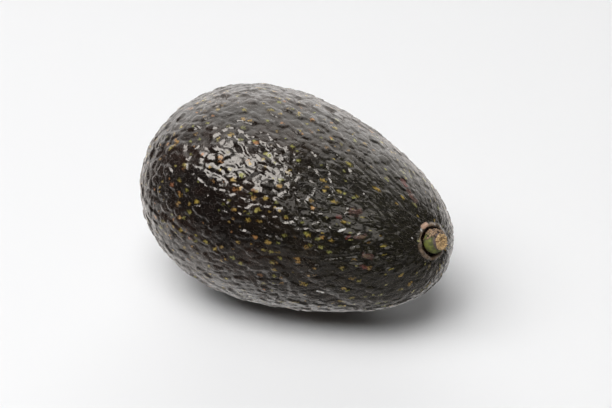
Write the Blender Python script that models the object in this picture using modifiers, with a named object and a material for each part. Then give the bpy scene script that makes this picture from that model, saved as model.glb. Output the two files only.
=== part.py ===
"""Ripe Hass avocado lying on its side: a pebbled fruit with its stem button still in place.

Metres, +Z up, +X from the blossom end to the stem end. The origin is the middle of the small
flat spot that the fruit rests on. Run with: blender --background --python part.py
"""
import math
import random

import bmesh
import bpy
from mathutils import Matrix, Vector
from mathutils.kdtree import KDTree

MM = 0.001

# ---- Fruit: an egg along X, before it is tilted onto its flat spot ----
HALF_LENGTH = 53.3 * MM
HALF_WIDTH = 34.0 * MM
TAPER = (-0.223, 0.061, 0.091)     # width change with cos, cos^2 and cos^3 of the polar angle
SIDE_BEND = -0.6 * MM              # both tips lean this far towards -Y ...
DOWN_BEND = -1.0 * MM              # ... and this far down
STEM_DROOP = math.radians(5.8)     # the slimmer stem end lies lower than the blossom end
FLAT_SPOT_DEPTH = 0.75 * MM        # height of the fruit's cap that the flat spot replaces

# ---- Skin relief ----
FACE_CUTS = 22                     # cuts in each edge of the icosahedron that the skin starts from
POINT_SCATTER = 0.15               # sideways scatter of the skin's points, in point spacings
PEBBLE_PITCH = 4.6 * MM            # least distance between pebble tops, a little over life size
PEBBLE_STRETCH = 1.35              # pebbles are this much longer along the fruit than around it
PEBBLE_HEIGHT = 0.95 * MM
PEBBLE_SPREAD = (0.55, 1.15)       # smallest and largest pebble, as shares of that height
PEBBLE_BREADTH = 0.40              # width of a pebble's dome, in pitches
STEM_PEBBLES = 0.45                # pitch next to the stem, as a share of the pitch elsewhere
STEM_PEBBLE_REACH = 34.0 * MM      # pebbles reach full size this far from the stem
PEBBLE_FADE = (0.3 * MM, 4.0 * MM)     # pebbles grow in over this height above the flat spot
SWELL_COUNT = 7                    # broad swells, each a wave in a direction of its own
SWELL_HEIGHT = 0.16 * MM
SWELL_LENGTH = (17.0 * MM, 34.0 * MM)
RANDOM_SEED = 21

# ---- Stem cavity: a shallow well with a raised lip, off the tip, up and to the -Y side ----
STEM_POLAR = math.radians(22.0)    # angle from the +X tip
STEM_TURN = math.radians(126.0)    # angle about X, from +Y through +Z
CROWDING = 0.50                    # how much closer the skin's points lie around the stem
CROWDING_REACH = math.radians(24.0)
WELL_DEPTH = 2.2 * MM
WELL_RADIUS = 4.9 * MM
WELL_FILLET = 0.7 * MM             # between the well's wall and its floor
WELL_STEPS = 48
LIP_RADIUS = 5.6 * MM
LIP_WIDTH = 0.9 * MM
LIP_HEIGHT = 0.60 * MM
SMOOTH_COLLAR = 9.0 * MM           # pebbles reach full height this far from the stem's axis

# ---- Stem button: a tapered stub with a corky cut end, seated in the well ----
SEAT_GAP = 0.3 * MM
BUTTON_STEPS = 40
BUTTON_RADIUS = 3.8 * MM
BUTTON_WAIST = 2.45 * MM
CORK_RADIUS = 2.75 * MM
BUTTON_RISE = 4.8 * MM             # cut end above the fruit's skin
BUTTON_RIBS = 9
RIB_DEPTH = 0.05                   # share of the local radius
CORK_ROUGHNESS = 0.25 * MM
CORK_SPREAD = 0.06                 # share of the local radius
POINT_MERGE = 0.01 * MM

SKIN_COLOR = (0.034, 0.027, 0.025, 1.0)
STEM_COLOR = (0.230, 0.165, 0.055, 1.0)


def smooth_step(value, low, high):
    """0 below low, 1 above high, and a smooth rise between them."""
    share = min(1.0, max(0.0, (value - low) / (high - low)))
    return share * share * (3.0 - 2.0 * share)


def clear_scene():
    for item in list(bpy.data.objects):
        bpy.data.objects.remove(item, do_unlink=True)


def plain_material(name, color, roughness):
    material = bpy.data.materials.new(name)
    material.use_nodes = True
    shader = material.node_tree.nodes["Principled BSDF"]
    shader.inputs["Base Color"].default_value = color
    shader.inputs["Roughness"].default_value = roughness
    shader.inputs["Metallic"].default_value = 0.0
    return material


def direction_at(polar, turn):
    """Unit direction at an angle from +X and an angle about X."""
    return Vector((math.cos(polar), math.sin(polar) * math.cos(turn), math.sin(polar) * math.sin(turn)))


def egg_point(direction):
    """Point of the smooth egg, before the tilt, that lies in a unit direction."""
    cosine = direction.x
    swell = 1.0 + TAPER[0] * cosine + TAPER[1] * cosine ** 2 + TAPER[2] * cosine ** 3
    return Vector((HALF_LENGTH * cosine,
                   HALF_WIDTH * swell * direction.y + SIDE_BEND * cosine ** 2,
                   HALF_WIDTH * swell * direction.z + DOWN_BEND * cosine ** 2))


def egg_normal(direction):
    """Outward normal of the smooth egg in a unit direction."""
    step = 0.001
    first = direction.orthogonal().normalized()
    second = direction.cross(first)
    along, across = [egg_point((direction + side * step).normalized())
                     - egg_point((direction - side * step).normalized()) for side in (first, second)]
    return along.cross(across).normalized()


def resting_frame():
    """Matrix that tilts the egg and puts its flat spot's middle at the origin."""
    tilt = Matrix.Rotation(STEM_DROOP, 4, "Y")
    down = tilt.to_3x3().transposed() @ Vector((0.0, 0.0, -1.0))
    direction = down.copy()
    for _ in range(60):
        direction = (direction + 0.5 * (down - egg_normal(direction))).normalized()
    lowest = tilt @ egg_point(direction)
    return Matrix.Translation(-lowest - Vector((0.0, 0.0, FLAT_SPOT_DEPTH))) @ tilt


def stem_frame():
    """Matrix at the smooth skin's point under the stem, with +Z along the stem."""
    direction = direction_at(STEM_POLAR, STEM_TURN)
    turn = egg_normal(direction).to_track_quat("Z", "Y").to_matrix().to_4x4()
    return Matrix.Translation(egg_point(direction)) @ turn


def point_sphere():
    """Unit sphere of even small triangles: an icosahedron whose edges are cut and pushed out."""
    sphere = bmesh.new()
    bmesh.ops.create_icosphere(sphere, subdivisions=1, radius=1.0)
    bmesh.ops.subdivide_edges(sphere, edges=sphere.edges[:], cuts=FACE_CUTS, use_grid_fill=True)
    bmesh.ops.triangulate(sphere, faces=sphere.faces[:])
    for vert in sphere.verts:
        vert.co.normalize()
    return sphere


def aim_at_stem(sphere):
    """Turn a corner of the icosahedron to the stem and crowd the points around it."""
    stem = direction_at(STEM_POLAR, STEM_TURN)
    corner = max(sphere.verts, key=lambda vert: vert.co.z).co.normalized()
    turn = corner.rotation_difference(stem)
    full = math.pi - CROWDING * CROWDING_REACH * (1.0 - math.exp(-math.pi / CROWDING_REACH))
    for vert in sphere.verts:
        place = turn @ vert.co
        angle = stem.angle(place)
        if angle < 1e-4 or angle > math.pi - 1e-4:
            vert.co = place
            continue
        drawn_in = angle - CROWDING * CROWDING_REACH * (1.0 - math.exp(-angle / CROWDING_REACH))
        aside = (place - stem * stem.dot(place)).normalized()
        new_angle = math.pi * drawn_in / full
        vert.co = stem * math.cos(new_angle) + aside * math.sin(new_angle)


def scatter(sphere, chance):
    """Move each point sideways a little, so that the skin shows no rows."""
    moved = []
    for vert in sphere.verts:
        spacing = min(edge.calc_length() for edge in vert.link_edges)
        shift = Vector([chance.uniform(-1.0, 1.0) for _ in range(3)]) * spacing * POINT_SCATTER
        moved.append((vert.co + shift).normalized())
    for vert, place in zip(sphere.verts, moved):
        vert.co = place


def pebble_pitch(place):
    """Least distance between pebble tops around a point of the egg: small at the stem."""
    from_stem = (place - egg_point(direction_at(STEM_POLAR, STEM_TURN))).length
    grown = smooth_step(from_stem, 0.0, STEM_PEBBLE_REACH)
    return PEBBLE_PITCH * (STEM_PEBBLES + (1.0 - STEM_PEBBLES) * grown)


def grain_space(place):
    """The same point with lengths along the fruit shortened, where pebbles are round."""
    return Vector((place.x / PEBBLE_STRETCH, place.y, place.z))


def scatter_pebbles(places, chance):
    """Draw pebble tops among the skin's points, at random but never closer than the pitch."""
    tree = KDTree(len(places))
    for index, place in enumerate(places):
        tree.insert(grain_space(place), index)
    tree.balance()
    order = list(range(len(places)))
    chance.shuffle(order)
    pebbles = []
    closed = set()
    for index in order:
        if index in closed:
            continue
        top = grain_space(places[index])
        pitch = pebble_pitch(places[index])
        pebbles.append((top, pitch, chance.uniform(*PEBBLE_SPREAD)))
        closed.update(near for _, near, _ in tree.find_range(top, pitch))
    return pebbles


def pebble_tree(pebbles):
    tree = KDTree(len(pebbles))
    for index, (top, _, _) in enumerate(pebbles):
        tree.insert(top, index)
    tree.balance()
    return tree


def pebble_relief(place, pebbles, tree):
    """Height of the pebbled skin above the smooth egg: the highest of the domes nearby."""
    highest = 0.0
    for _, index, distance in tree.find_n(grain_space(place), 3):
        _, pitch, size = pebbles[index]
        dome = math.exp(-(distance / (PEBBLE_BREADTH * pitch)) ** 2)
        highest = max(highest, PEBBLE_HEIGHT * size * dome * pitch / PEBBLE_PITCH)
    return highest


def make_swells(chance):
    """Broad uneven waves of the skin: (wave vector, phase) pairs."""
    waves = []
    for _ in range(SWELL_COUNT):
        axis = Vector([chance.gauss(0.0, 1.0) for _ in range(3)]).normalized()
        wave = axis * (2.0 * math.pi / chance.uniform(*SWELL_LENGTH))
        waves.append((wave, chance.uniform(0.0, 2.0 * math.pi)))
    return waves


def clear_of_stem(local):
    """0 on the lip and in the well, 1 out on the skin; local is a point in the stem's frame."""
    if local.z < -LIP_RADIUS:
        return 1.0
    return smooth_step(math.hypot(local.x, local.y), LIP_RADIUS, SMOOTH_COLLAR)


def lip_height(local):
    """Height of the raised lip around the stem's axis at a point in the stem's frame."""
    if local.z < -LIP_RADIUS:
        return 0.0
    radius = math.hypot(local.x, local.y)
    return LIP_HEIGHT * math.exp(-((radius - LIP_RADIUS) / LIP_WIDTH) ** 2)


def build_fruit(stem, rest):
    """The whole fruit as one closed solid: egg, swells, pebbles, stem cavity and flat spot."""
    chance = random.Random(RANDOM_SEED)
    skin = point_sphere()
    aim_at_stem(skin)
    scatter(skin, chance)
    for vert in skin.verts:
        vert.co = egg_point(vert.co)
    skin.normal_update()
    pebbles = scatter_pebbles([vert.co.copy() for vert in skin.verts], chance)
    tree = pebble_tree(pebbles)
    swells = make_swells(chance)
    stem_inverse = stem.inverted()
    for vert in skin.verts:
        smooth = vert.co.copy()
        local = stem_inverse @ smooth
        relief = sum(SWELL_HEIGHT * math.sin(wave.dot(smooth) + phase) for wave, phase in swells)
        relief += pebble_relief(smooth, pebbles, tree)
        relief *= smooth_step((rest @ smooth).z, *PEBBLE_FADE) * clear_of_stem(local)
        place = rest @ (smooth + vert.normal * (relief + lip_height(local)))
        place.z = max(place.z, 0.0)
        vert.co = place
    mesh = bpy.data.meshes.new("fruit")
    skin.to_mesh(mesh)
    skin.free()
    return bpy.data.objects.new("fruit", mesh)


def turned_mesh(name, profile, steps):
    """Solid of revolution about Z, from a profile that runs down its outer side."""
    outline = bpy.data.meshes.new(name)
    points = [(radius, 0.0, height) for radius, height in profile]
    outline.from_pydata(points, [(index, index + 1) for index in range(len(points) - 1)], [])
    blank = bpy.data.objects.new(name, outline)
    bpy.context.scene.collection.objects.link(blank)
    screw = blank.modifiers.new("turn", "SCREW")
    screw.axis = "Z"
    screw.steps = steps
    screw.render_steps = steps
    screw.use_merge_vertices = True
    screw.merge_threshold = POINT_MERGE
    evaluated = blank.evaluated_get(bpy.context.evaluated_depsgraph_get())
    mesh = bpy.data.meshes.new_from_object(evaluated)
    bpy.data.objects.remove(blank, do_unlink=True)
    bpy.data.meshes.remove(outline)
    return mesh


def build_well_cutter(stem, rest):
    """The turned shape that sinks the stem's well into the fruit."""
    top = 3.0 * LIP_RADIUS
    profile = [(0.0, top), (WELL_RADIUS, top)]
    for step in range(4):
        angle = math.radians(30.0 * step)
        profile.append((WELL_RADIUS - WELL_FILLET * (1.0 - math.cos(angle)),
                        WELL_FILLET - WELL_DEPTH - WELL_FILLET * math.sin(angle)))
    profile.append((0.0, -WELL_DEPTH))
    cutter = bpy.data.objects.new("well_cutter", turned_mesh("well_cutter", profile, WELL_STEPS))
    cutter.matrix_world = rest @ stem
    cutter.hide_render = True
    cutter.display_type = "WIRE"
    return cutter


def cut(piece, cutter):
    boolean = piece.modifiers.new("well", "BOOLEAN")
    boolean.operation = "DIFFERENCE"
    boolean.object = cutter


def button_profile():
    """Radius and height of the button's outline, from its cut end down to its seat."""
    seat = SEAT_GAP - WELL_DEPTH
    return [(0.0, BUTTON_RISE - 0.5 * MM),
            (0.45 * CORK_RADIUS, BUTTON_RISE - 0.3 * MM),
            (0.80 * CORK_RADIUS, BUTTON_RISE),
            (CORK_RADIUS, BUTTON_RISE - 0.5 * MM),
            (CORK_RADIUS, BUTTON_RISE - 1.2 * MM),
            (BUTTON_WAIST, BUTTON_RISE - 1.7 * MM),
            (1.13 * BUTTON_WAIST, BUTTON_RISE - 2.3 * MM),
            (0.86 * BUTTON_RADIUS, BUTTON_RISE - 3.2 * MM),
            (0.97 * BUTTON_RADIUS, BUTTON_RISE - 4.2 * MM),
            (BUTTON_RADIUS, 0.35 * seat),
            (0.93 * BUTTON_RADIUS, seat),
            (0.50 * BUTTON_RADIUS, seat),
            (0.0, seat)]


def build_stem_button(stem, rest):
    """The stub of the stalk: ribbed flank, waist, and a knobbly corky end."""
    chance = random.Random(RANDOM_SEED + 1)
    mesh = turned_mesh("stem_button", button_profile(), BUTTON_STEPS)
    body = bmesh.new()
    body.from_mesh(mesh)
    bmesh.ops.remove_doubles(body, verts=body.verts[:], dist=POINT_MERGE)
    bmesh.ops.triangulate(body, faces=body.faces[:])
    for vert in body.verts:
        turn = math.atan2(vert.co.y, vert.co.x)
        cork = smooth_step(vert.co.z, BUTTON_RISE - 1.4 * MM, BUTTON_RISE - 0.7 * MM)
        flank = smooth_step(vert.co.z, 0.2 * MM, 1.2 * MM) - cork
        widening = 1.0 + RIB_DEPTH * flank * math.sin(BUTTON_RIBS * turn + 1.5 * math.sin(2.0 * turn))
        widening += CORK_SPREAD * cork * chance.uniform(-1.0, 1.0)
        vert.co.x *= widening
        vert.co.y *= widening
        vert.co.z += CORK_ROUGHNESS * cork * chance.uniform(-1.0, 1.0)
    body.to_mesh(mesh)
    body.free()
    button = bpy.data.objects.new("stem_button", mesh)
    button.matrix_world = rest @ stem
    return button


def finish(piece, collection, material, sharp_angle):
    piece.data.materials.append(material)
    piece.data.shade_smooth()
    piece.data.set_sharp_from_angle(angle=math.radians(sharp_angle))
    collection.objects.link(piece)


def new_collection(name):
    collection = bpy.data.collections.new(name)
    bpy.context.scene.collection.children.link(collection)
    return collection


def main():
    clear_scene()
    avocado = new_collection("avocado")
    cutters = new_collection("cutters")
    stem = stem_frame()
    rest = resting_frame()
    well = build_well_cutter(stem, rest)
    cutters.objects.link(well)
    fruit = build_fruit(stem, rest)
    finish(fruit, avocado, plain_material("skin", SKIN_COLOR, 0.42), 60.0)
    cut(fruit, well)
    button = build_stem_button(stem, rest)
    finish(button, avocado, plain_material("stem", STEM_COLOR, 0.80), 45.0)


main()
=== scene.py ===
"""Looks of the avocado: pebbled purple-black peel, lenticels, stem well and corky stem button.

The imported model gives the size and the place. The peel is a fine closed skin over the same egg,
displaced in mesh code, and its markings are procedural. Lengths are in metres.
"""
import math

import bmesh
import bpy
import numpy as np
from mathutils import Matrix, Vector, noise
from mathutils.kdtree import KDTree


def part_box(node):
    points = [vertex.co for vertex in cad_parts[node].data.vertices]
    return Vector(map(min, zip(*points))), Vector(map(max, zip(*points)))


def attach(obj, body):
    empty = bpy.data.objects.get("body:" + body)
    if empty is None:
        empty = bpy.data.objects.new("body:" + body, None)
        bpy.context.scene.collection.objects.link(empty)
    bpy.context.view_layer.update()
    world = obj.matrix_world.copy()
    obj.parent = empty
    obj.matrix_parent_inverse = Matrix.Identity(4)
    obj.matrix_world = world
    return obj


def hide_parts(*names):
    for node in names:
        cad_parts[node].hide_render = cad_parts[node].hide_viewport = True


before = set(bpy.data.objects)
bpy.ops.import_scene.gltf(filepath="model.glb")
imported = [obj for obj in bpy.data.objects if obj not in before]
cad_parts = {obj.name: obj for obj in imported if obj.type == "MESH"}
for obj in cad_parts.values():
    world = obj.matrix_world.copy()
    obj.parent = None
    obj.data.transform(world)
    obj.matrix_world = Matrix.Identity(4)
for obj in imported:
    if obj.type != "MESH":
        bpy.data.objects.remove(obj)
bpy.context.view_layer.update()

MM = 0.001
RANDOM_SEED = 7                     # for the draws of the pebbles and of the specks
NOISE_SEED = 1                      # without one, the noise vectors differ from run to run

# ---- Egg, as in the frame: proportions of the smooth fruit before its tilt ----
HALF_LENGTH = 53.3 * MM
HALF_WIDTH = 34.0 * MM
TAPER = (-0.223, 0.061, 0.091)      # of the width, by powers of the cosine from the long axis
SIDE_BEND = -0.6 * MM
DOWN_BEND = -1.0 * MM
STEM_DROOP = math.radians(5.8)
FLAT_SPOT_DEPTH = 0.75 * MM
BOX_MARGIN = 0.05 * MM              # room left inside the frame's box
STEM_POLAR = math.radians(22.0)     # from the long axis to the stem
STEM_TURN = math.radians(126.0)     # and round that axis
CROWDING = 0.50                     # how much closer together the skin's points are at the stem
CROWDING_REACH = math.radians(24.0)
SKIN_CUTS = 95                      # cuts in each edge of the icosahedron: 184,320 triangles

# ---- Peel relief ----
PEBBLE_PITCH = (1.3 * MM, 2.35 * MM)    # at the stem, and from mid fruit on
PEBBLE_STRETCH = (2.6, 1.30)            # length along the fruit over width, at the same places
PEBBLE_GROWTH = (5.0 * MM, 50.0 * MM)   # distances from the stem between those values
PEBBLE_HEIGHT = 0.68 * MM
PEBBLE_SIZES = (0.25, 1.20)             # lowest and highest pebble, as shares of that height
PEBBLE_TILT = 0.06
PEBBLE_DROOP = 0.08                     # fall from the middle of a pebble to its rim
PEBBLE_RIM = 0.9                        # in pitches, like the next two
FURROW_WIDTH = 0.40
OUTLINE_WANDER = 0.28
WANDER_LENGTH = 1.6 * MM
FURROW_ROUNDING = 0.17
SWELL_HEIGHT = 0.22 * MM
SWELL_LENGTH = 13.0 * MM
CRUMPLE_HEIGHT = 0.03 * MM
CRUMPLE_LENGTH = 1.1 * MM
FLOW_HEIGHT = 0.08 * MM                 # ridges that run down from the stem
FLOW_LENGTH = 1.5 * MM
FLOW_SQUEEZE = 0.22                     # of the grain along the fruit, which draws the ridges out
FLOW_FADE = (20.0 * MM, 60.0 * MM)      # distances from the stem between which they weaken
FLOW_LEFT = 0.35                        # and the share of them that is left
RELIEF_CLEARANCE = (0.2 * MM, 3.0 * MM)   # heights over the floor between which the relief sets in
GRAIN_RADIUS = 30.0 * MM                # where the grain of the markings has its true width
PLATE_SCALE = 0.9                       # plates per millimetre
PLATE_TILT = 0.20 * MM

# ---- Corky specks: shares of the pebbles, and sizes in pebble pitches ----
SPECK_SHARE = (0.30, 0.50)              # at the stem, and from mid fruit on
SPECK_GROWTH = (8.0 * MM, 45.0 * MM)    # distances from the stem between those values
TWIN_SHARE = 0.35                       # specks that have a second one close by
SPECK_DRIFT = (0.10, 0.38)              # off the pebble's top, for a speck and for its twin
SPECK_RADII = (0.12, 0.28)

# ---- Marks on the peel: two ends, each a polar angle and a turn in degrees, and a half width ----
RED_SCARS = (((49, 96), (46.5, 98), 0.85 * MM), ((64, 144), (63, 144), 0.6 * MM),
             ((59, 155), (58, 153), 0.5 * MM), ((51, 172), (49, 173), 0.7 * MM))
BROWN_SCARS = (((60, 138), (57.5, 136), 1.1 * MM), ((45, 100), (40, 104), 0.9 * MM),
               ((56, 153), (53, 150), 0.7 * MM), ((51, 163), (48, 163), 0.9 * MM))
# pale straw marks: partly pale nicks, partly painted highlights where glints fall
PALE_NICKS_AND_GLINTS = (((66, -162), (64, -160), 0.35 * MM), ((34, 137), (33.5, 137), 0.25 * MM),
              ((31, 124), (30.6, 125), 0.35 * MM), ((62, 152), (60, 149.5), 0.35 * MM))
LIP_FLUSH = ((31, 120), (30, 115), 0.75 * MM)
STEM_LINE = ((48, 119), (33, 118), 0.30 * MM)
STEM_LINE_HEIGHT = 0.18 * MM
SCRATCH = ((64, 171), (53, 164), 0.45 * MM)
SCRATCH_DEPTH = 0.30 * MM
CREASE = ((73, -176), (56, -142), 2.2 * MM)
CREASE_DEPTH = 0.45 * MM

# ---- Stem well ----
WELL_DEPTH = 2.15 * MM
WELL_RADIUS = (4.15 * MM, 4.65 * MM)    # floor and mouth
LIP_RADIUS = 5.3 * MM
LIP_WIDTH = 0.70 * MM
LIP_HEIGHT = 0.60 * MM
WELL_REACH = 2.5 * LIP_RADIUS           # from the stem's axis to where the skin is left alone
LIP_WOBBLE = ((0.22 * MM, 3.0, 0.7), (0.14 * MM, 7.0, 2.1))   # height, count and phase of waves
LIP_KNOBS = ((0.30, 5.0, 1.2), (0.25, 11.0, 0.4))
LIP_MEAN = 0.75                         # of the knobs, as a share of the lip's height
SMOOTH_COLLAR = (5.4 * MM, 7.6 * MM)

# ---- Stem button: radii of the corky end, waist and flank, and height over the smooth skin ----
BUTTON_RADII = (2.55 * MM, 2.20 * MM, 3.75 * MM)
BUTTON_RISE = 4.6 * MM
BUTTON_FOOT = WELL_DEPTH - 0.3 * MM
BARK_LENGTH = 1.1 * MM
PORE_LENGTH = 0.45 * MM
BARK_SIDE = (-0.10, 0.67, 0.74)         # the way the barky side of the button faces
CUT_SIDE = (0.90, 0.44, 0.0)            # the way the corky end slopes down
CUT_SLANT = 0.16

# ---- Camera: the fruit's long axis is turned from the picture's plane ----
CAMERA_AZIMUTH = 26.4
CAMERA_ELEVATION = 30.0
CAMERA_DISTANCE = 12.0 * HALF_WIDTH
SENSOR_WIDTH = 36.0                 # millimetres, like the lens
LENS = 73.706
LENS_SHIFT = (0.01405, 0.00131)     # in picture widths

# ---- Studio: azimuths are counted from the camera's own ----
# A glow has an azimuth, an elevation, and the nearness to them at which it starts and is full.
SKY_GLOW = (178.0, 37.0, (0.35, 0.95))
FAR_TABLE = (170.0, 0.0, (0.20, 0.75))
SIDE_TABLE = (-125.0, -45.0, (0.60, 0.92))
SIDE_TABLE_DEPTH = (-0.15, -0.45)   # heights of a unit direction at which it starts and is full
NEAR_TABLE_DEPTH = (-0.20, -0.55)
SKY_STRENGTH = 2.2
FAR_TABLE_STRENGTH = 1.0
NEAR_TABLE_STRENGTH = 0.30
ROOM_STRENGTH = 0.03
FLOOR_SIZE = 8.0
FLOOR_DROP = 0.05 * MM              # keeps the floor clear of the fruit's flat spot
LIGHT_DISTANCE = 2.5
# Name, azimuth, elevation, size in metres and radiance. The first set lights matt surfaces and
# casts the shadows, and the second is only mirrored in the gloss.
MATT_LIGHTS = (("window", -56.0, 53.0, (2.0, 1.2), 3.85),
               ("ceiling", -15.0, 66.0, (1.4, 1.4), 5.95),
               ("side_high", -80.0, 66.0, (1.4, 1.4), 1.7),
               ("side_low", -85.0, 40.0, (1.4, 1.2), 0.35),
               ("top", 0.0, 88.0, (1.4, 1.4), 1.35),
               ("rear", 178.0, 18.0, (2.2, 1.0), 4.25),
               ("rear_left", -150.0, 18.0, (1.6, 1.0), 1.5))
GLOSS_LIGHTS = (("window_gloss", -56.0, 53.0, (2.0, 1.2), 9.0),
                ("lamp_gloss", 10.0, 34.0, (1.4, 1.1), 1.8),
                ("wall_gloss", 70.0, 50.0, (2.4, 1.8), 0.15))


# ---------------------------------------------------------------- shape maths

def ramp(value, low, high):
    """0 below low, 1 above high, and a smooth rise between them."""
    share = np.clip((value - low) / (high - low), 0.0, 1.0)
    return share * share * (3.0 - 2.0 * share)


def mix(share, first, second):
    return first + (second - first) * share


def unit(rows):
    return rows / np.linalg.norm(rows, axis=-1, keepdims=True)


def direction_at(polar, turn):
    return np.array([math.cos(polar), math.sin(polar) * math.cos(turn), math.sin(polar) * math.sin(turn)])


STEM_DIRECTION = direction_at(STEM_POLAR, STEM_TURN)


def egg_points(directions):
    """Points of the smooth egg in unit directions, one to a row."""
    cosine = directions[:, :1]
    swell = 1.0 + TAPER[0] * cosine + TAPER[1] * cosine ** 2 + TAPER[2] * cosine ** 3
    bend = np.hstack([np.full_like(cosine, SIDE_BEND), np.full_like(cosine, DOWN_BEND)]) * cosine ** 2
    return np.hstack([HALF_LENGTH * cosine, HALF_WIDTH * swell * directions[:, 1:] + bend])


def slope(directions, sideways, step=1e-4):
    """Change of the egg's points per radian when the directions move sideways."""
    ahead = egg_points(unit(directions + step * sideways))
    behind = egg_points(unit(directions - step * sideways))
    return (ahead - behind) / (2.0 * step)


def sphere_skin():
    """Directions and triangles of an even sphere, with a corner at the stem and crowded there."""
    sphere = bmesh.new()
    bmesh.ops.create_icosphere(sphere, subdivisions=1, radius=1.0)
    bmesh.ops.subdivide_edges(sphere, edges=sphere.edges[:], cuts=SKIN_CUTS, use_grid_fill=True)
    bmesh.ops.triangulate(sphere, faces=sphere.faces[:])
    corner = max(sphere.verts, key=lambda vert: vert.co.z).co.normalized()
    turn = corner.rotation_difference(Vector(STEM_DIRECTION)).to_matrix()
    directions = unit(np.array([vert.co[:] for vert in sphere.verts])) @ np.array(turn).T
    triangles = np.array([[vert.index for vert in face.verts] for face in sphere.faces])
    sphere.free()
    angle = np.arccos(np.clip(directions @ STEM_DIRECTION, -1.0, 1.0))
    full = math.pi - CROWDING * CROWDING_REACH * (1.0 - math.exp(-math.pi / CROWDING_REACH))
    drawn_in = angle - CROWDING * CROWDING_REACH * (1.0 - np.exp(-angle / CROWDING_REACH))
    new_angle = (math.pi * drawn_in / full)[:, None]
    aside = directions - (directions @ STEM_DIRECTION)[:, None] * STEM_DIRECTION
    length = np.linalg.norm(aside, axis=1, keepdims=True)
    aside = np.where(length > 1e-6, aside / np.maximum(length, 1e-6), np.array([[0.0, 0.0, 1.0]]))
    return unit(np.cos(new_angle) * STEM_DIRECTION + np.sin(new_angle) * aside), triangles


class Skin:
    """The smooth egg's points with what the relief and the markings are laid out by."""

    def __init__(self):
        self.directions, self.triangles = sphere_skin()
        self.angle = np.arccos(np.clip(self.directions @ STEM_DIRECTION, -1.0, 1.0))
        self.places = egg_points(self.directions)
        sine = np.maximum(np.sin(self.angle), 1e-5)[:, None]
        away = unit((self.directions * np.cos(self.angle)[:, None] - STEM_DIRECTION) / sine + 1e-9)
        self.along = unit(slope(self.directions, away))
        normal = np.cross(self.along, unit(slope(self.directions, np.cross(self.directions, away))))
        self.normals = unit(normal * np.sign((normal * self.directions).sum(axis=1, keepdims=True)))
        self.around = np.cross(self.normals, self.along)
        first = unit(np.cross(STEM_DIRECTION, [0.0, 0.0, 1.0]))
        second = np.cross(STEM_DIRECTION, first)
        self.turn = np.arctan2(self.directions @ second, self.directions @ first)
        self.reach, self.girth = self.lengths_from_stem(first)
        grown = ramp(self.reach, *PEBBLE_GROWTH)
        self.pitch = mix(grown, *PEBBLE_PITCH)
        self.stretch = mix(grown, *PEBBLE_STRETCH)

    def lengths_from_stem(self, first):
        """Arc length from the stem along the skin, and distance from the stem-blossom line."""
        angles = np.linspace(0.0, math.pi, 400)
        ring = np.cos(angles)[:, None] * STEM_DIRECTION + np.sin(angles)[:, None] * first
        away = np.cos(angles)[:, None] * first - np.sin(angles)[:, None] * STEM_DIRECTION
        pace = np.linalg.norm(slope(ring, away), axis=1)
        arc = np.concatenate([[0.0], np.cumsum(0.5 * (pace[1:] + pace[:-1]) * np.diff(angles))])
        return np.interp(self.angle, angles, arc), HALF_WIDTH * np.sin(self.angle)


def tree_of(places):
    tree = KDTree(len(places))
    for index, place in enumerate(places):
        tree.insert(place, index)
    tree.balance()
    return tree


def scatter(skin, pitch, chance):
    """Seeded draw of the skin's points, no two closer than the pitch in stretched lengths."""
    tree = tree_of(skin.places)
    free = np.ones(len(skin.places), bool)
    tops = []
    for index in chance.permutation(len(skin.places)):
        if not free[index]:
            continue
        tops.append(index)
        found = tree.find_range(skin.places[index], pitch[index] * skin.stretch[index])
        near = np.array([other for _, other, _ in found])
        offset = skin.places[near] - skin.places[index]
        length = np.hypot(offset @ skin.along[index] / skin.stretch[index], offset @ skin.around[index])
        free[near[length < pitch[index]]] = False
    return np.array(tops)


def stretched_distances(skin, centres, places, count):
    """Distances from each place to the nearest centres, shortest first, and which centres they are."""
    tree = tree_of(centres)
    near = np.array([[index for _, index, _ in tree.find_n(place, count)] for place in places])
    offset = centres[near] - places[:, None, :]
    lengthwise = (offset * skin.along[:, None, :]).sum(axis=2) / skin.stretch[:, None]
    crosswise = (offset * skin.around[:, None, :]).sum(axis=2)
    distance = np.hypot(lengthwise, crosswise)
    order = np.argsort(distance, axis=1)
    return [np.take_along_axis(values, order, 1) for values in (distance, near, lengthwise, crosswise)]


def noise_rows(places, length, seed):
    """A smooth random vector at each place, with features of the given length."""
    shift = Vector((31.7 * seed, -17.3 * seed, 5.1 * seed))
    return np.array([noise.noise_vector(Vector(place) / length + shift)[:] for place in places])


def distance_to_arc(places, start, end, pieces=8):
    """Distance from each place to the line over the smooth egg between two polar and turn pairs."""
    ends = np.array([direction_at(*np.radians(pair)) for pair in (start, end)])
    knots = egg_points(unit(mix(np.linspace(0.0, 1.0, pieces + 1)[:, None], ends[0], ends[1])))
    nearest = np.full(len(places), np.inf)
    for first, step in zip(knots[:-1], np.diff(knots, axis=0)):
        share = np.clip((places - first) @ step / (step @ step), 0.0, 1.0)
        nearest = np.minimum(nearest, np.linalg.norm(places - first - share[:, None] * step, axis=1))
    return nearest


def distance_to_marks(places, marks):
    """Distance to the nearest of the marks in its half widths, up to 3."""
    ratios = [distance_to_arc(places, start, end) / half_width for start, end, half_width in marks]
    return np.minimum(np.min(ratios, axis=0), 3.0)


# ---------------------------------------------------------------- peel

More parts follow.
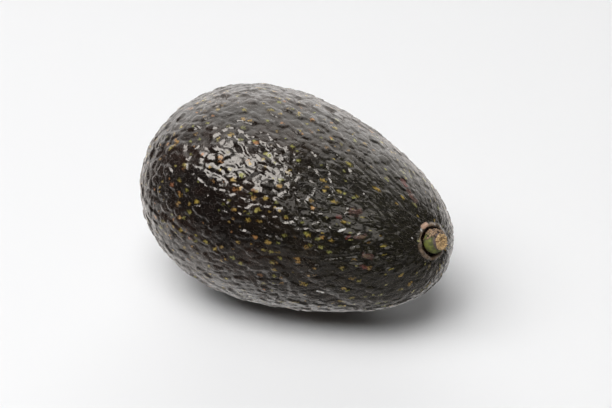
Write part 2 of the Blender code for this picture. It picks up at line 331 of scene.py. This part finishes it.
def pebbles(skin, chance):
    """Height share of each point on its pebble, and how clear it is of the furrows, 0 to 1."""
    tops = scatter(skin, skin.pitch, chance)
    size = chance.uniform(*PEBBLE_SIZES, len(tops))
    wander = noise_rows(skin.places, WANDER_LENGTH, 1) * OUTLINE_WANDER * skin.pitch[:, None]
    distance, near, lengthwise, crosswise = stretched_distances(
        skin, skin.places[tops], skin.places + wander, 6)
    distance /= skin.pitch[:, None]
    furrow = np.clip((distance[:, 1] - distance[:, 0]) / FURROW_WIDTH, 0.0, 1.0)
    rounded = np.minimum(np.hypot(furrow, FURROW_ROUNDING), 1.0)
    rim = np.clip(distance[:, 0] / PEBBLE_RIM, 0.0, 1.0)
    dome = (1.0 - (1.0 - rounded) ** 3) * (1.0 - PEBBLE_DROOP * rim ** 2)
    tilt = chance.normal(0.0, PEBBLE_TILT, (len(tops), 2))[near[:, 0]]
    lean = (tilt[:, 0] * lengthwise[:, 0] + tilt[:, 1] * crosswise[:, 0]) / PEBBLE_HEIGHT
    return tops, dome * size[near[:, 0]] + furrow * lean, furrow


def lenticels(skin, tops, chance):
    """Distance to the nearest corky speck in speck radii, and a random tint for each speck."""
    share = mix(ramp(skin.reach[tops], *SPECK_GROWTH), *SPECK_SHARE)
    kept = tops[chance.random(len(tops)) < share]
    twins = kept[chance.random(len(kept)) < TWIN_SHARE]
    owners = np.concatenate([kept, twins])
    drift = chance.normal(0.0, 1.0, (len(owners), 2))
    drift *= np.repeat(SPECK_DRIFT, [len(kept), len(twins)])[:, None]
    pitch = skin.pitch[owners][:, None]
    lengthwise = drift[:, :1] * skin.along[owners] * skin.stretch[owners][:, None]
    centres = skin.places[owners] + pitch * (lengthwise + drift[:, 1:] * skin.around[owners])
    radius = chance.uniform(*SPECK_RADII, len(owners)) * pitch[:, 0]
    tint = chance.random(len(owners))
    distance, near = stretched_distances(skin, centres, skin.places, 5)[:2]
    scaled = distance / radius[near]
    best = np.argmin(scaled, axis=1)
    rows = np.arange(len(best))
    return np.clip(scaled[rows, best], 0.0, 4.0), tint[near[rows, best]]


def stem_matrix():
    """Frame at the smooth skin's point under the stem, +Z along the stem, before the tilt."""
    direction = STEM_DIRECTION[None, :]
    first = unit(np.cross(direction, [[0.0, 0.0, 1.0]]))
    normal = np.cross(slope(direction, first), slope(direction, np.cross(direction, first)))[0]
    turn = Vector(normal * np.sign(normal @ STEM_DIRECTION)).to_track_quat("Z", "Y")
    return Matrix.Translation(egg_points(direction)[0]) @ turn.to_matrix().to_4x4()


def to_local(matrix, places):
    inverse = np.array(matrix.inverted())
    return places @ inverse[:3, :3].T + inverse[:3, 3]


def to_world(matrix, places):
    matrix = np.array(matrix)
    return places @ matrix[:3, :3].T + matrix[:3, 3]


def waves(turn, terms):
    return sum(height * np.sin(count * turn + phase) for height, count, phase in terms)


def dig_well(places, stem):
    """Raise the knobbly lip and sink the well round the stem's axis."""
    local = to_local(stem, places)
    radius = np.hypot(local[:, 0], local[:, 1])
    turn = np.arctan2(local[:, 1], local[:, 0])
    wobble = waves(turn, LIP_WOBBLE)
    knobs = LIP_MEAN + waves(turn, LIP_KNOBS)
    near = (local[:, 2] > -LIP_RADIUS) & (radius < WELL_REACH)
    lip = knobs * LIP_HEIGHT * np.exp(-((radius - LIP_RADIUS - wobble) / LIP_WIDTH) ** 2)
    opening = ramp(radius - wobble, *WELL_RADIUS)
    height = opening * (local[:, 2] + lip) - (1.0 - opening) * WELL_DEPTH
    local[:, 2] = np.where(near, height, local[:, 2])
    return to_world(stem, local), np.where(near, radius, 1.0)


def resting_matrix():
    tilt = Matrix.Rotation(STEM_DROOP, 4, "Y")
    down = np.array(tilt.to_3x3().transposed() @ Vector((0.0, 0.0, -1.0)))
    angles = np.linspace(0.0, math.pi, 721)
    ring = np.stack([np.cos(angles), np.zeros(721), -np.sin(angles)], axis=1)
    lowest = egg_points(ring)[np.argmax(egg_points(ring) @ down)]
    return Matrix.Translation(-(tilt @ Vector(lowest)) - Vector((0.0, 0.0, FLAT_SPOT_DEPTH))) @ tilt


def add_attribute(mesh, name, values):
    kind, field = ("FLOAT_VECTOR", "vector") if values.ndim == 2 else ("FLOAT", "value")
    attribute = mesh.attributes.new(name, kind, "POINT")
    attribute.data.foreach_set(field, values.astype(np.float32).ravel())


def mesh_piece(name, places, faces, attributes):
    mesh = bpy.data.meshes.new(name)
    mesh.from_pydata(places.tolist(), [], faces)
    mesh.shade_smooth()
    for label, values in attributes.items():
        add_attribute(mesh, label, values)
    piece = bpy.data.objects.new(name, mesh)
    bpy.context.scene.collection.objects.link(piece)
    return piece


def grain_of(skin):
    """Lengths along the fruit, drawn together as the pebbles are stretched, and across it."""
    spread = GRAIN_RADIUS * (skin.girth / GRAIN_RADIUS) ** 0.6
    across = (spread * np.cos(skin.turn), spread * np.sin(skin.turn))
    return np.stack([skin.reach / skin.stretch, *across], axis=1)


def mark_relief(places):
    """Scratch with raised edges, crease, and ridge above the stem."""
    scratch = distance_to_marks(places, [SCRATCH])
    relief = SCRATCH_DEPTH * (0.5 * np.exp(-(scratch - 2.0) ** 2 / 0.5) - np.exp(-scratch ** 2))
    relief -= CREASE_DEPTH * np.exp(-distance_to_marks(places, [CREASE]) ** 2)
    return relief + STEM_LINE_HEIGHT * np.exp(-distance_to_marks(places, [STEM_LINE]) ** 2)


def skin_relief(skin, grain, pebble):
    """Height over the smooth egg of the pebbles, the swells, the ridges and the marks."""
    swell = noise_rows(skin.places, SWELL_LENGTH, 2)[:, 0]
    crumple = noise_rows(grain, CRUMPLE_LENGTH, 3)[:, 0]
    flow = noise_rows(grain * (FLOW_SQUEEZE, 1.0, 1.0), FLOW_LENGTH, 4)[:, 0]
    relief = PEBBLE_HEIGHT * pebble * skin.pitch / PEBBLE_PITCH[1]
    relief += SWELL_HEIGHT * swell + CRUMPLE_HEIGHT * crumple
    relief += FLOW_HEIGHT * flow * mix(ramp(skin.reach, *FLOW_FADE), 1.0, FLOW_LEFT)
    return relief + mark_relief(skin.places)


def build_peel(stem, rest):
    chance = np.random.default_rng(RANDOM_SEED)
    skin = Skin()
    grain = grain_of(skin)
    tops, pebble, furrow = pebbles(skin, chance)
    speck, tint = lenticels(skin, tops, chance)
    from_stem = to_local(stem, skin.places)
    collar = np.where(from_stem[:, 2] < -LIP_RADIUS, 1.0,
                      ramp(np.hypot(from_stem[:, 0], from_stem[:, 1]), *SMOOTH_COLLAR))
    free = ramp(to_world(rest, skin.places)[:, 2], *RELIEF_CLEARANCE)
    relief = skin_relief(skin, grain, pebble) * collar * free
    places, well_radius = dig_well(skin.places + skin.normals * relief[:, None], stem)
    places = to_world(rest, places)
    places[:, 2] = np.maximum(places[:, 2], 0.0)
    marks = {"red_scar": RED_SCARS, "brown_scar": BROWN_SCARS, "pale_nick_and_glint": PALE_NICKS_AND_GLINTS,
             "lip_flush": [LIP_FLUSH]}
    distances = {name: distance_to_marks(skin.places, mark) for name, mark in marks.items()}
    return mesh_piece("peel", places, skin.triangles.tolist(), {
        "grain": grain / MM, "furrow": furrow, "speck": speck, "speck_tint": tint,
        "stem_reach": skin.reach / MM, "well_radius": well_radius / MM,
        "well_turn": stem_turn(from_stem), **distances})


def stem_turn(local):
    """Unit vector round the stem, as (cosine, sine, 0)."""
    radius = np.maximum(np.hypot(local[:, 0], local[:, 1]), 1e-6)
    return np.stack([local[:, 0] / radius, local[:, 1] / radius, np.zeros(len(local))], axis=1)


# ---------------------------------------------------------------- stem button

def button_outline():
    """Radius and height pairs down the button, in its own frame, before it is roughened."""
    cork, waist, flank = BUTTON_RADII
    return [(0.0, BUTTON_RISE - 0.50 * MM), (0.55 * cork, BUTTON_RISE - 0.30 * MM),
            (0.90 * cork, BUTTON_RISE - 0.05 * MM), (cork, BUTTON_RISE - 0.35 * MM),
            (0.97 * cork, BUTTON_RISE - 0.75 * MM), (waist, BUTTON_RISE - 1.1 * MM),
            (1.05 * waist, BUTTON_RISE - 1.6 * MM), (0.80 * flank, BUTTON_RISE - 2.2 * MM),
            (0.96 * flank, BUTTON_RISE - 3.1 * MM), (flank, BUTTON_RISE - 4.0 * MM),
            (0.97 * flank, -0.2 * MM), (0.82 * flank, -1.0 * MM), (0.62 * flank, -0.95 * BUTTON_FOOT),
            (0.3 * flank, -BUTTON_FOOT), (0.0, -BUTTON_FOOT)]


def resample(outline, count):
    """Evenly spaced points of a smooth line through the outline's points."""
    outline = np.array(outline)
    lengths = np.concatenate([[0.0], np.cumsum(np.linalg.norm(np.diff(outline, axis=0), axis=1))])
    wanted = np.linspace(0.0, lengths[-1], count)
    line = np.stack([np.interp(wanted, lengths, column) for column in outline.T], axis=1)
    for _ in range(3):
        line[1:-1] = 0.25 * line[:-2] + 0.5 * line[1:-1] + 0.25 * line[2:]
    return line


def roughen(local, turns, bark_side, cut_side):
    """Crumbly bark on the upper flank, fine skin on the lower one and a pitted corky end."""
    coarse = noise_rows(local, BARK_LENGTH, 5)
    fine = noise_rows(local, PORE_LENGTH, 6)
    outward = np.stack([np.cos(turns), np.sin(turns), np.zeros(len(local))], axis=1)
    outward[-2:] = 0.0
    cork = ramp(local[:, 2], BUTTON_RISE - 1.05 * MM, BUTTON_RISE - 0.75 * MM)
    bare = ramp(local[:, 2], -1.6 * MM, -0.2 * MM)
    bark = ramp(outward @ bark_side + 0.8 * coarse[:, 2], -0.05, 0.30)
    crest = 0.55 - 2.2 * np.abs(coarse[:, 0])
    flank = mix(bark, 0.10 * coarse[:, 1] + 0.05 * fine[:, 0], 0.42 * crest + 0.30 * fine[:, 0])
    swell = bare * mix(cork, flank, 0.30 * coarse[:, 0] + 0.28 * fine[:, 1]) * MM
    local = local + outward * swell[:, None]
    local[:, 2] += cork * (0.50 * coarse[:, 1] + 0.40 * fine[:, 2]) * MM
    near_cut = ramp(local[:, 2], BUTTON_RISE - 2.6 * MM, BUTTON_RISE - 1.0 * MM)
    local[:, 2] -= CUT_SLANT * (local @ cut_side) * near_cut
    waist = ramp(local[:, 2], BUTTON_RISE - 2.1 * MM, BUTTON_RISE - 1.7 * MM) * (1.0 - cork)
    return local, {"cork": cork, "bark": bark, "waist": waist, "crest": crest + fine[:, 0]}


def build_button(stem, rest, rows=110, columns=180):
    line = resample(button_outline(), rows)
    turn = np.linspace(0.0, 2.0 * math.pi, columns, endpoint=False)
    turns = np.append(np.tile(turn, rows - 2), [0.0, 0.0])
    radius = np.append(np.repeat(line[1:-1, 0], columns), [0.0, 0.0])
    height = np.append(np.repeat(line[1:-1, 1], columns), [line[0, 1], line[-1, 1]])
    local = np.stack([radius * np.cos(turns), radius * np.sin(turns), height], axis=1)
    inward = (rest @ stem).to_3x3().inverted()
    bark_side, cut_side = (np.array(inward @ Vector(side)) for side in (BARK_SIDE, CUT_SIDE))
    local, shares = roughen(local, turns, bark_side, cut_side)
    faces = []
    for row in range(rows - 3):
        for column in range(columns):
            after = (column + 1) % columns
            upper, lower = row * columns, (row + 1) * columns
            faces.append((upper + column, lower + column, lower + after, upper + after))
    top, foot = len(local) - 2, len(local) - 1
    last = (rows - 3) * columns
    for column in range(columns):
        after = (column + 1) % columns
        faces.append((top, column, after))
        faces.append((foot, last + after, last + column))
    return mesh_piece("button", to_world(rest @ stem, local), faces, {"local": local / MM, **shares})


# ---------------------------------------------------------------- materials

class Nodes:
    """Short calls to lay out the nodes of a material or of the world."""

    def __init__(self, owner):
        owner.use_nodes = True
        self.tree = owner.node_tree
        self.shader = self.tree.nodes.get("Principled BSDF")

    def new(self, kind, **settings):
        node = self.tree.nodes.new(kind)
        for key, value in settings.items():
            setattr(node, key, value)
        return node

    def put(self, socket, value):
        if isinstance(value, bpy.types.NodeSocket):
            self.tree.links.new(value, socket)
        else:
            socket.default_value = value

    def attribute(self, name, output="Fac"):
        return self.new("ShaderNodeAttribute", attribute_name=name).outputs[output]

    def math(self, operation, *values):
        node = self.new("ShaderNodeMath", operation=operation)
        for socket, value in zip(node.inputs, values):
            self.put(socket, value)
        return node.outputs[0]

    def ramp(self, value, low, high, start=0.0, end=1.0):
        node = self.new("ShaderNodeMapRange", interpolation_type="SMOOTHSTEP")
        names = ("Value", "From Min", "From Max", "To Min", "To Max")
        for name, given in zip(names, (value, low, high, start, end)):
            self.put(node.inputs[name], given)
        return node.outputs["Result"]

    def noise(self, vector, scale, detail=2.0, roughness=0.5, output="Fac"):
        node = self.new("ShaderNodeTexNoise")
        self.put(node.inputs["Vector"], vector)
        for name, given in (("Scale", scale), ("Detail", detail), ("Roughness", roughness)):
            node.inputs[name].default_value = given
        return node.outputs[output]

    def vector(self, operation, *values, output="Vector"):
        node = self.new("ShaderNodeVectorMath", operation=operation)
        for socket, value in zip(node.inputs, values):
            self.put(socket, value)
        return node.outputs[output]

    def squeeze(self, vector, *factors):
        """The vector with each of its parts multiplied by a factor."""
        return self.vector("MULTIPLY", vector, factors)

    def steps(self, value, *stops):
        node = self.new("ShaderNodeValToRGB")
        self.put(node.inputs["Fac"], value)
        elements = node.color_ramp.elements
        while len(elements) < len(stops):
            elements.new(0.5)
        for element, (position, color) in zip(elements, stops):
            element.position = position
            element.color = color
        return node.outputs["Color"]

    def mix(self, share, first, second):
        node = self.new("ShaderNodeMix", data_type="RGBA")
        self.put(node.inputs["Factor"], share)
        self.put(node.inputs[6], first)
        self.put(node.inputs[7], second)
        return node.outputs[2]

    def bump(self, height, distance):
        node = self.new("ShaderNodeBump")
        self.put(node.inputs["Height"], height)
        node.inputs["Distance"].default_value = distance
        return node.outputs["Normal"]

    def set(self, **inputs):
        for name, value in inputs.items():
            self.put(self.shader.inputs[name.replace("_", " ")], value)


def rgb(red, green, blue):
    return (red, green, blue, 1.0)


RIPE = (rgb(0.0180, 0.0090, 0.0062), rgb(0.0042, 0.0022, 0.0014))
OLIVE = (rgb(0.0042, 0.0039, 0.0019), rgb(0.0140, 0.0128, 0.0052))
MOTTLE = rgb(0.0030, 0.0018, 0.0013)
# painted shade: near-black for the furrows between the pebbles
FURROW_SHADE = rgb(0.0019, 0.0014, 0.0010)
SPECK_TINTS = ((0.0, rgb(0.27, 0.070, 0.019)), (0.10, rgb(0.29, 0.120, 0.022)),
               (0.28, rgb(0.32, 0.184, 0.034)), (0.50, rgb(0.34, 0.242, 0.038)),
               (0.72, rgb(0.220, 0.225, 0.040)), (0.88, rgb(0.32, 0.30, 0.085)),
               (1.0, rgb(0.52, 0.46, 0.20)))
# the pale tints are partly those of pale nicks and partly painted highlights
SCAR_TINTS = (("red_scar", rgb(0.030, 0.0060, 0.0055), rgb(0.135, 0.027, 0.022)),
              ("brown_scar", rgb(0.030, 0.014, 0.012), rgb(0.115, 0.060, 0.047)),
              ("pale_nick_and_glint", rgb(0.45, 0.42, 0.38), rgb(0.85, 0.85, 0.83)))
LIP_TAN = (rgb(0.110, 0.076, 0.048), rgb(0.23, 0.165, 0.112))
LIP_SALMON = rgb(0.48, 0.31, 0.22)
# dark red-brown of the stem well, darkened further as painted shade for the recess
WELL_RED_AND_SHADE = rgb(0.023, 0.0057, 0.0023)
GLOSS_TINT = rgb(1.0, 0.94, 0.87)
BLOOM_TINT = rgb(0.82, 0.71, 0.64)
STALK_GREEN = (rgb(0.050, 0.053, 0.015), rgb(0.142, 0.160, 0.024))
BARK = (rgb(0.016, 0.0075, 0.0050), rgb(0.29, 0.185, 0.105))
CORK = (rgb(0.13, 0.060, 0.020), rgb(0.56, 0.38, 0.185))
WAIST = (rgb(0.016, 0.010, 0.010), rgb(0.17, 0.12, 0.11))
FLOOR_COLOR = rgb(0.75, 0.75, 0.755)


def peel_color(nodes, grain):
    """Near-black to purple-brown and olive-brown towards the stem, with shade painted into the furrows.
    """
    reach = nodes.attribute("stem_reach")
    patches = nodes.ramp(nodes.noise(grain, 0.09, 3.0), 0.35, 0.65)
    mottle = nodes.ramp(nodes.noise(grain, 0.55, 3.0, 0.6), 0.35, 0.65, 0.45, 1.0)
    streaks = nodes.noise(nodes.squeeze(grain, 0.25, 1.0, 1.0), 0.9, 3.0, 0.6)
    ripe = nodes.mix(patches, *RIPE)
    olive = nodes.mix(nodes.ramp(streaks, 0.35, 0.65), *OLIVE)
    color = nodes.mix(nodes.ramp(reach, 70.0, 18.0), ripe, olive)
    color = nodes.mix(mottle, MOTTLE, color)
    # painted shade: the colour darkens towards near black in the furrows between the pebbles
    return nodes.mix(nodes.ramp(nodes.attribute("furrow"), 0.0, 0.40, 0.75, 0.0), color, FURROW_SHADE)


def speck_share(nodes, grain):
    """How much of the corky specks' colour shows: ragged, and fainter in places."""
    ragged = nodes.math("ADD", nodes.attribute("speck"),
                        nodes.ramp(nodes.noise(grain, 2.0, 2.0), 0.3, 0.7, -0.55, 0.55))
    strength = nodes.ramp(nodes.noise(grain, 0.42, 2.0), 0.30, 0.62, 0.25, 1.0)
    return nodes.math("MULTIPLY", nodes.ramp(ragged, 1.35, 0.25), strength)


def speck_color(nodes):
    """Rust to ochre at the blossom end, and ochre to olive and straw towards the stem."""
    warmth = nodes.math("ADD", nodes.math("MULTIPLY", nodes.attribute("speck_tint"), 0.75),
                        nodes.ramp(nodes.attribute("stem_reach"), 75.0, 15.0, 0.0, 0.25))
    return nodes.steps(warmth, *SPECK_TINTS)


def add_scars(nodes, grain, color):
    """Healed scars in red and brown, and pale straw marks that are partly nicks and partly painted
    highlights.
    """
    ragged = nodes.ramp(nodes.noise(grain, 1.3, 3.0, 0.6), 0.3, 0.7, -0.5, 0.5)
    inside = nodes.ramp(nodes.noise(grain, 2.6, 2.0), 0.40, 0.60)
    for name, dark, light in SCAR_TINTS:
        ratio = nodes.math("ADD", nodes.attribute(name), ragged)
        share = nodes.ramp(ratio, 1.15, 0.55, 0.0, 0.85)
        color = nodes.mix(share, color, nodes.mix(inside, dark, light))
    return color


def add_lip(nodes, color):
    """Broken tan lip round the well, flushed with salmon in one place; the well is dark red-brown with
    its shade painted in.
    """
    well = nodes.attribute("well_radius")
    turn = nodes.attribute("well_turn", "Vector")
    broken = nodes.noise(turn, 1.7, 4.0, 0.65)
    tan = nodes.mix(nodes.ramp(broken, 0.40, 0.60), *LIP_TAN)
    edge = nodes.math("ADD", well, nodes.ramp(broken, 0.3, 0.7, -0.30, 0.30))
    share = nodes.math("MULTIPLY", nodes.ramp(edge, 4.5, 4.8), nodes.ramp(edge, 6.0, 5.4))
    share = nodes.math("MULTIPLY", share, nodes.ramp(broken, 0.32, 0.48, 0.35, 1.0))
    color = nodes.mix(share, color, tan)
    color = nodes.mix(nodes.ramp(nodes.attribute("lip_flush"), 1.15, 0.75), color, LIP_SALMON)
    # dark red-brown inside the well, which also paints in the shade of the recess
    return nodes.mix(nodes.ramp(well, 4.75, 4.45), color, WELL_RED_AND_SHADE)


def skin_plates(nodes, grain):
    """Height share of small flat plates, each tilted its own way, that break up the gloss."""
    wander = nodes.squeeze(nodes.noise(grain, 1.0, 2.0, 0.5, "Color"), 0.5, 0.5, 0.5)
    places = nodes.squeeze(nodes.vector("ADD", grain, wander), PLATE_SCALE, PLATE_SCALE, PLATE_SCALE)
    cell = nodes.new("ShaderNodeTexVoronoi")
    nodes.put(cell.inputs["Vector"], places)
    cell.inputs["Scale"].default_value = 1.0
    tilt = nodes.vector("SUBTRACT", cell.outputs["Color"], (0.5, 0.5, 0.5))
    away = nodes.vector("SUBTRACT", places, cell.outputs["Position"])
    return nodes.vector("DOT_PRODUCT", away, tilt, output="Value")


def peel_material():
    material = bpy.data.materials.new("peel")
    nodes = Nodes(material)
    grain = nodes.attribute("grain", "Vector")
    mark = speck_share(nodes, grain)
    color = nodes.mix(nodes.math("MULTIPLY", mark, 0.90), peel_color(nodes, grain), speck_color(nodes))
    color = add_lip(nodes, add_scars(nodes, grain, color))
    shine = nodes.ramp(nodes.noise(grain, 0.6, 3.0), 0.35, 0.65, 0.10, 0.22)
    shine = nodes.math("ADD", shine, nodes.math("MULTIPLY", mark, 0.25))
    shine = nodes.math("ADD", shine, nodes.ramp(nodes.attribute("furrow"), 0.50, 0.05, 0.0, 0.12))
    normal = nodes.bump(skin_plates(nodes, grain), PLATE_TILT)
    nodes.set(Base_Color=color, Roughness=shine, Normal=normal, IOR=1.60)
    nodes.set(Specular_Tint=GLOSS_TINT)
    nodes.set(Sheen_Weight=0.42, Sheen_Roughness=0.40, Sheen_Tint=BLOOM_TINT)
    return material


def button_material():
    material = bpy.data.materials.new("stem")
    nodes = Nodes(material)
    local = nodes.attribute("local", "Vector")
    patches = nodes.noise(local, 0.7, 3.0, 0.6)
    pits = nodes.noise(local, 2.0, 3.0, 0.6)
    crest = nodes.attribute("crest")
    green = nodes.mix(nodes.ramp(patches, 0.35, 0.65), *STALK_GREEN)
    bark = nodes.mix(nodes.ramp(crest, -0.25, 0.55), *BARK)
    cork = nodes.mix(nodes.ramp(pits, 0.34, 0.52), *CORK)
    color = nodes.mix(nodes.attribute("bark"), green, bark)
    color = nodes.mix(nodes.attribute("waist"), color, nodes.mix(pits, *WAIST))
    color = nodes.mix(nodes.attribute("cork"), color, cork)
    normal = nodes.bump(nodes.noise(local, 2.8, 3.0, 0.6), 0.30 * MM)
    nodes.set(Base_Color=color, Roughness=nodes.ramp(patches, 0.3, 0.7, 0.50, 0.75), Normal=normal)
    return material


# ---------------------------------------------------------------- stage

def studio_direction(azimuth, elevation):
    """Unit vector towards a place in the studio; azimuth is counted from the camera's own."""
    turn, rise = math.radians(CAMERA_AZIMUTH + azimuth), math.radians(elevation)
    return Vector((math.sin(turn) * math.cos(rise), -math.cos(turn) * math.cos(rise), math.sin(rise)))


def add_camera(egg_centre):
    back = studio_direction(0.0, CAMERA_ELEVATION)
    right = Vector((0.0, 0.0, 1.0)).cross(back).normalized()
    data = bpy.data.cameras.new("camera")
    data.sensor_width = SENSOR_WIDTH
    data.lens = LENS
    data.shift_x, data.shift_y = LENS_SHIFT
    camera = bpy.data.objects.new("camera", data)
    turn = Matrix((right, back.cross(right), back)).transposed().to_4x4()
    camera.matrix_world = Matrix.Translation(egg_centre + back * CAMERA_DISTANCE) @ turn
    bpy.context.scene.collection.objects.link(camera)
    bpy.context.scene.camera = camera


def add_softbox(name, azimuth, elevation, size, radiance, target):
    """Evenly bright softbox that faces the target."""
    back = studio_direction(azimuth, elevation)
    data = bpy.data.lights.new(name, "AREA")
    data.shape = "RECTANGLE"
    data.size, data.size_y = size
    data.energy = radiance * math.pi * size[0] * size[1]
    light = bpy.data.objects.new(name, data)
    turn = back.to_track_quat("Z", "Y").to_matrix().to_4x4()
    light.matrix_world = Matrix.Translation(target + back * LIGHT_DISTANCE) @ turn
    bpy.context.scene.collection.objects.link(light)
    return light


def add_world():
    """What the gloss mirrors: a dim room, a pale glow high behind the fruit, and the pale table."""
    world = bpy.data.worlds.new("studio")
    nodes = Nodes(world)
    direction = nodes.new("ShaderNodeTexCoord").outputs["Generated"]

    def towards(azimuth, elevation, spread):
        aim = studio_direction(azimuth, elevation)
        return nodes.ramp(nodes.vector("DOT_PRODUCT", direction, aim, output="Value"), *spread)

    parts = nodes.new("ShaderNodeSeparateXYZ")
    nodes.put(parts.inputs[0], direction)
    height = parts.outputs["Z"]
    glow = nodes.math("MULTIPLY", towards(*SKY_GLOW), SKY_STRENGTH)
    sky = nodes.math("ADD", glow, ROOM_STRENGTH)
    side = nodes.math("MULTIPLY", towards(*SIDE_TABLE), nodes.ramp(height, *SIDE_TABLE_DEPTH))
    far = nodes.math("MAXIMUM", side, towards(*FAR_TABLE))
    near = nodes.ramp(height, *NEAR_TABLE_DEPTH, 0.0, NEAR_TABLE_STRENGTH)
    table = nodes.math("MAXIMUM", nodes.math("MULTIPLY", far, FAR_TABLE_STRENGTH), near)
    above = nodes.math("GREATER_THAN", height, 0.0)
    below = nodes.math("SUBTRACT", 1.0, above)
    strength = nodes.math("ADD", nodes.math("MULTIPLY", above, sky), nodes.math("MULTIPLY", below, table))
    background = nodes.tree.nodes["Background"]
    background.inputs["Color"].default_value = rgb(1.0, 1.0, 1.0)
    nodes.put(background.inputs["Strength"], strength)
    world.cycles_visibility.diffuse = False
    bpy.context.scene.world = world


def add_floor():
    """Plain matt floor. The gloss mirrors the world's pale table in its place."""
    bpy.ops.mesh.primitive_plane_add(size=FLOOR_SIZE, location=(0.0, 0.0, -FLOOR_DROP))
    floor = bpy.context.object
    floor.name = "floor"
    floor.visible_glossy = False
    material = bpy.data.materials.new("floor")
    Nodes(material).set(Base_Color=FLOOR_COLOR, Roughness=1.0, Specular_IOR_Level=0.0)
    floor.data.materials.append(material)


def add_lights(target):
    for name, azimuth, elevation, size, radiance in MATT_LIGHTS:
        light = add_softbox(name, azimuth, elevation, size, radiance, target)
        light.visible_glossy = False
        light.data.cycles.use_multiple_importance_sampling = False
    for name, azimuth, elevation, size, radiance in GLOSS_LIGHTS:
        light = add_softbox(name, azimuth, elevation, size, radiance, target)
        light.visible_diffuse = False


def fit_to_frame(pieces):
    """Scale the pieces as one about the floor so that the peel fills the frame's fruit."""
    low, high = (np.array(corner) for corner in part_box("fruit"))
    places = np.array([vert.co[:] for vert in pieces[0].data.vertices])
    lowest, highest = places.min(axis=0), places.max(axis=0)
    scale = ((high - low - 2.0 * BOX_MARGIN) / (highest - lowest)).min()
    shift = 0.5 * (high + low - scale * (highest + lowest)) * (1.0, 1.0, 0.0)
    for piece in pieces:
        piece.data.transform(Matrix.Translation(shift) @ Matrix.Scale(scale, 4))


def main():
    noise.seed_set(NOISE_SEED)
    stem = stem_matrix()
    rest = resting_matrix()
    peel = build_peel(stem, rest)
    peel.data.materials.append(peel_material())
    button = build_button(stem, rest)
    button.data.materials.append(button_material())
    fit_to_frame([peel, button])
    for piece, node, slot in ((peel, "fruit", "skin"), (button, "stem_button", "stem")):
        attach(piece, "root")
        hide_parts(node)
    add_camera(rest.translation)
    add_floor()
    add_world()
    add_lights(rest.translation)
    # The colours are set for a plain transform, without a tone curve.
    bpy.context.scene.view_settings.view_transform = "Standard"


main()
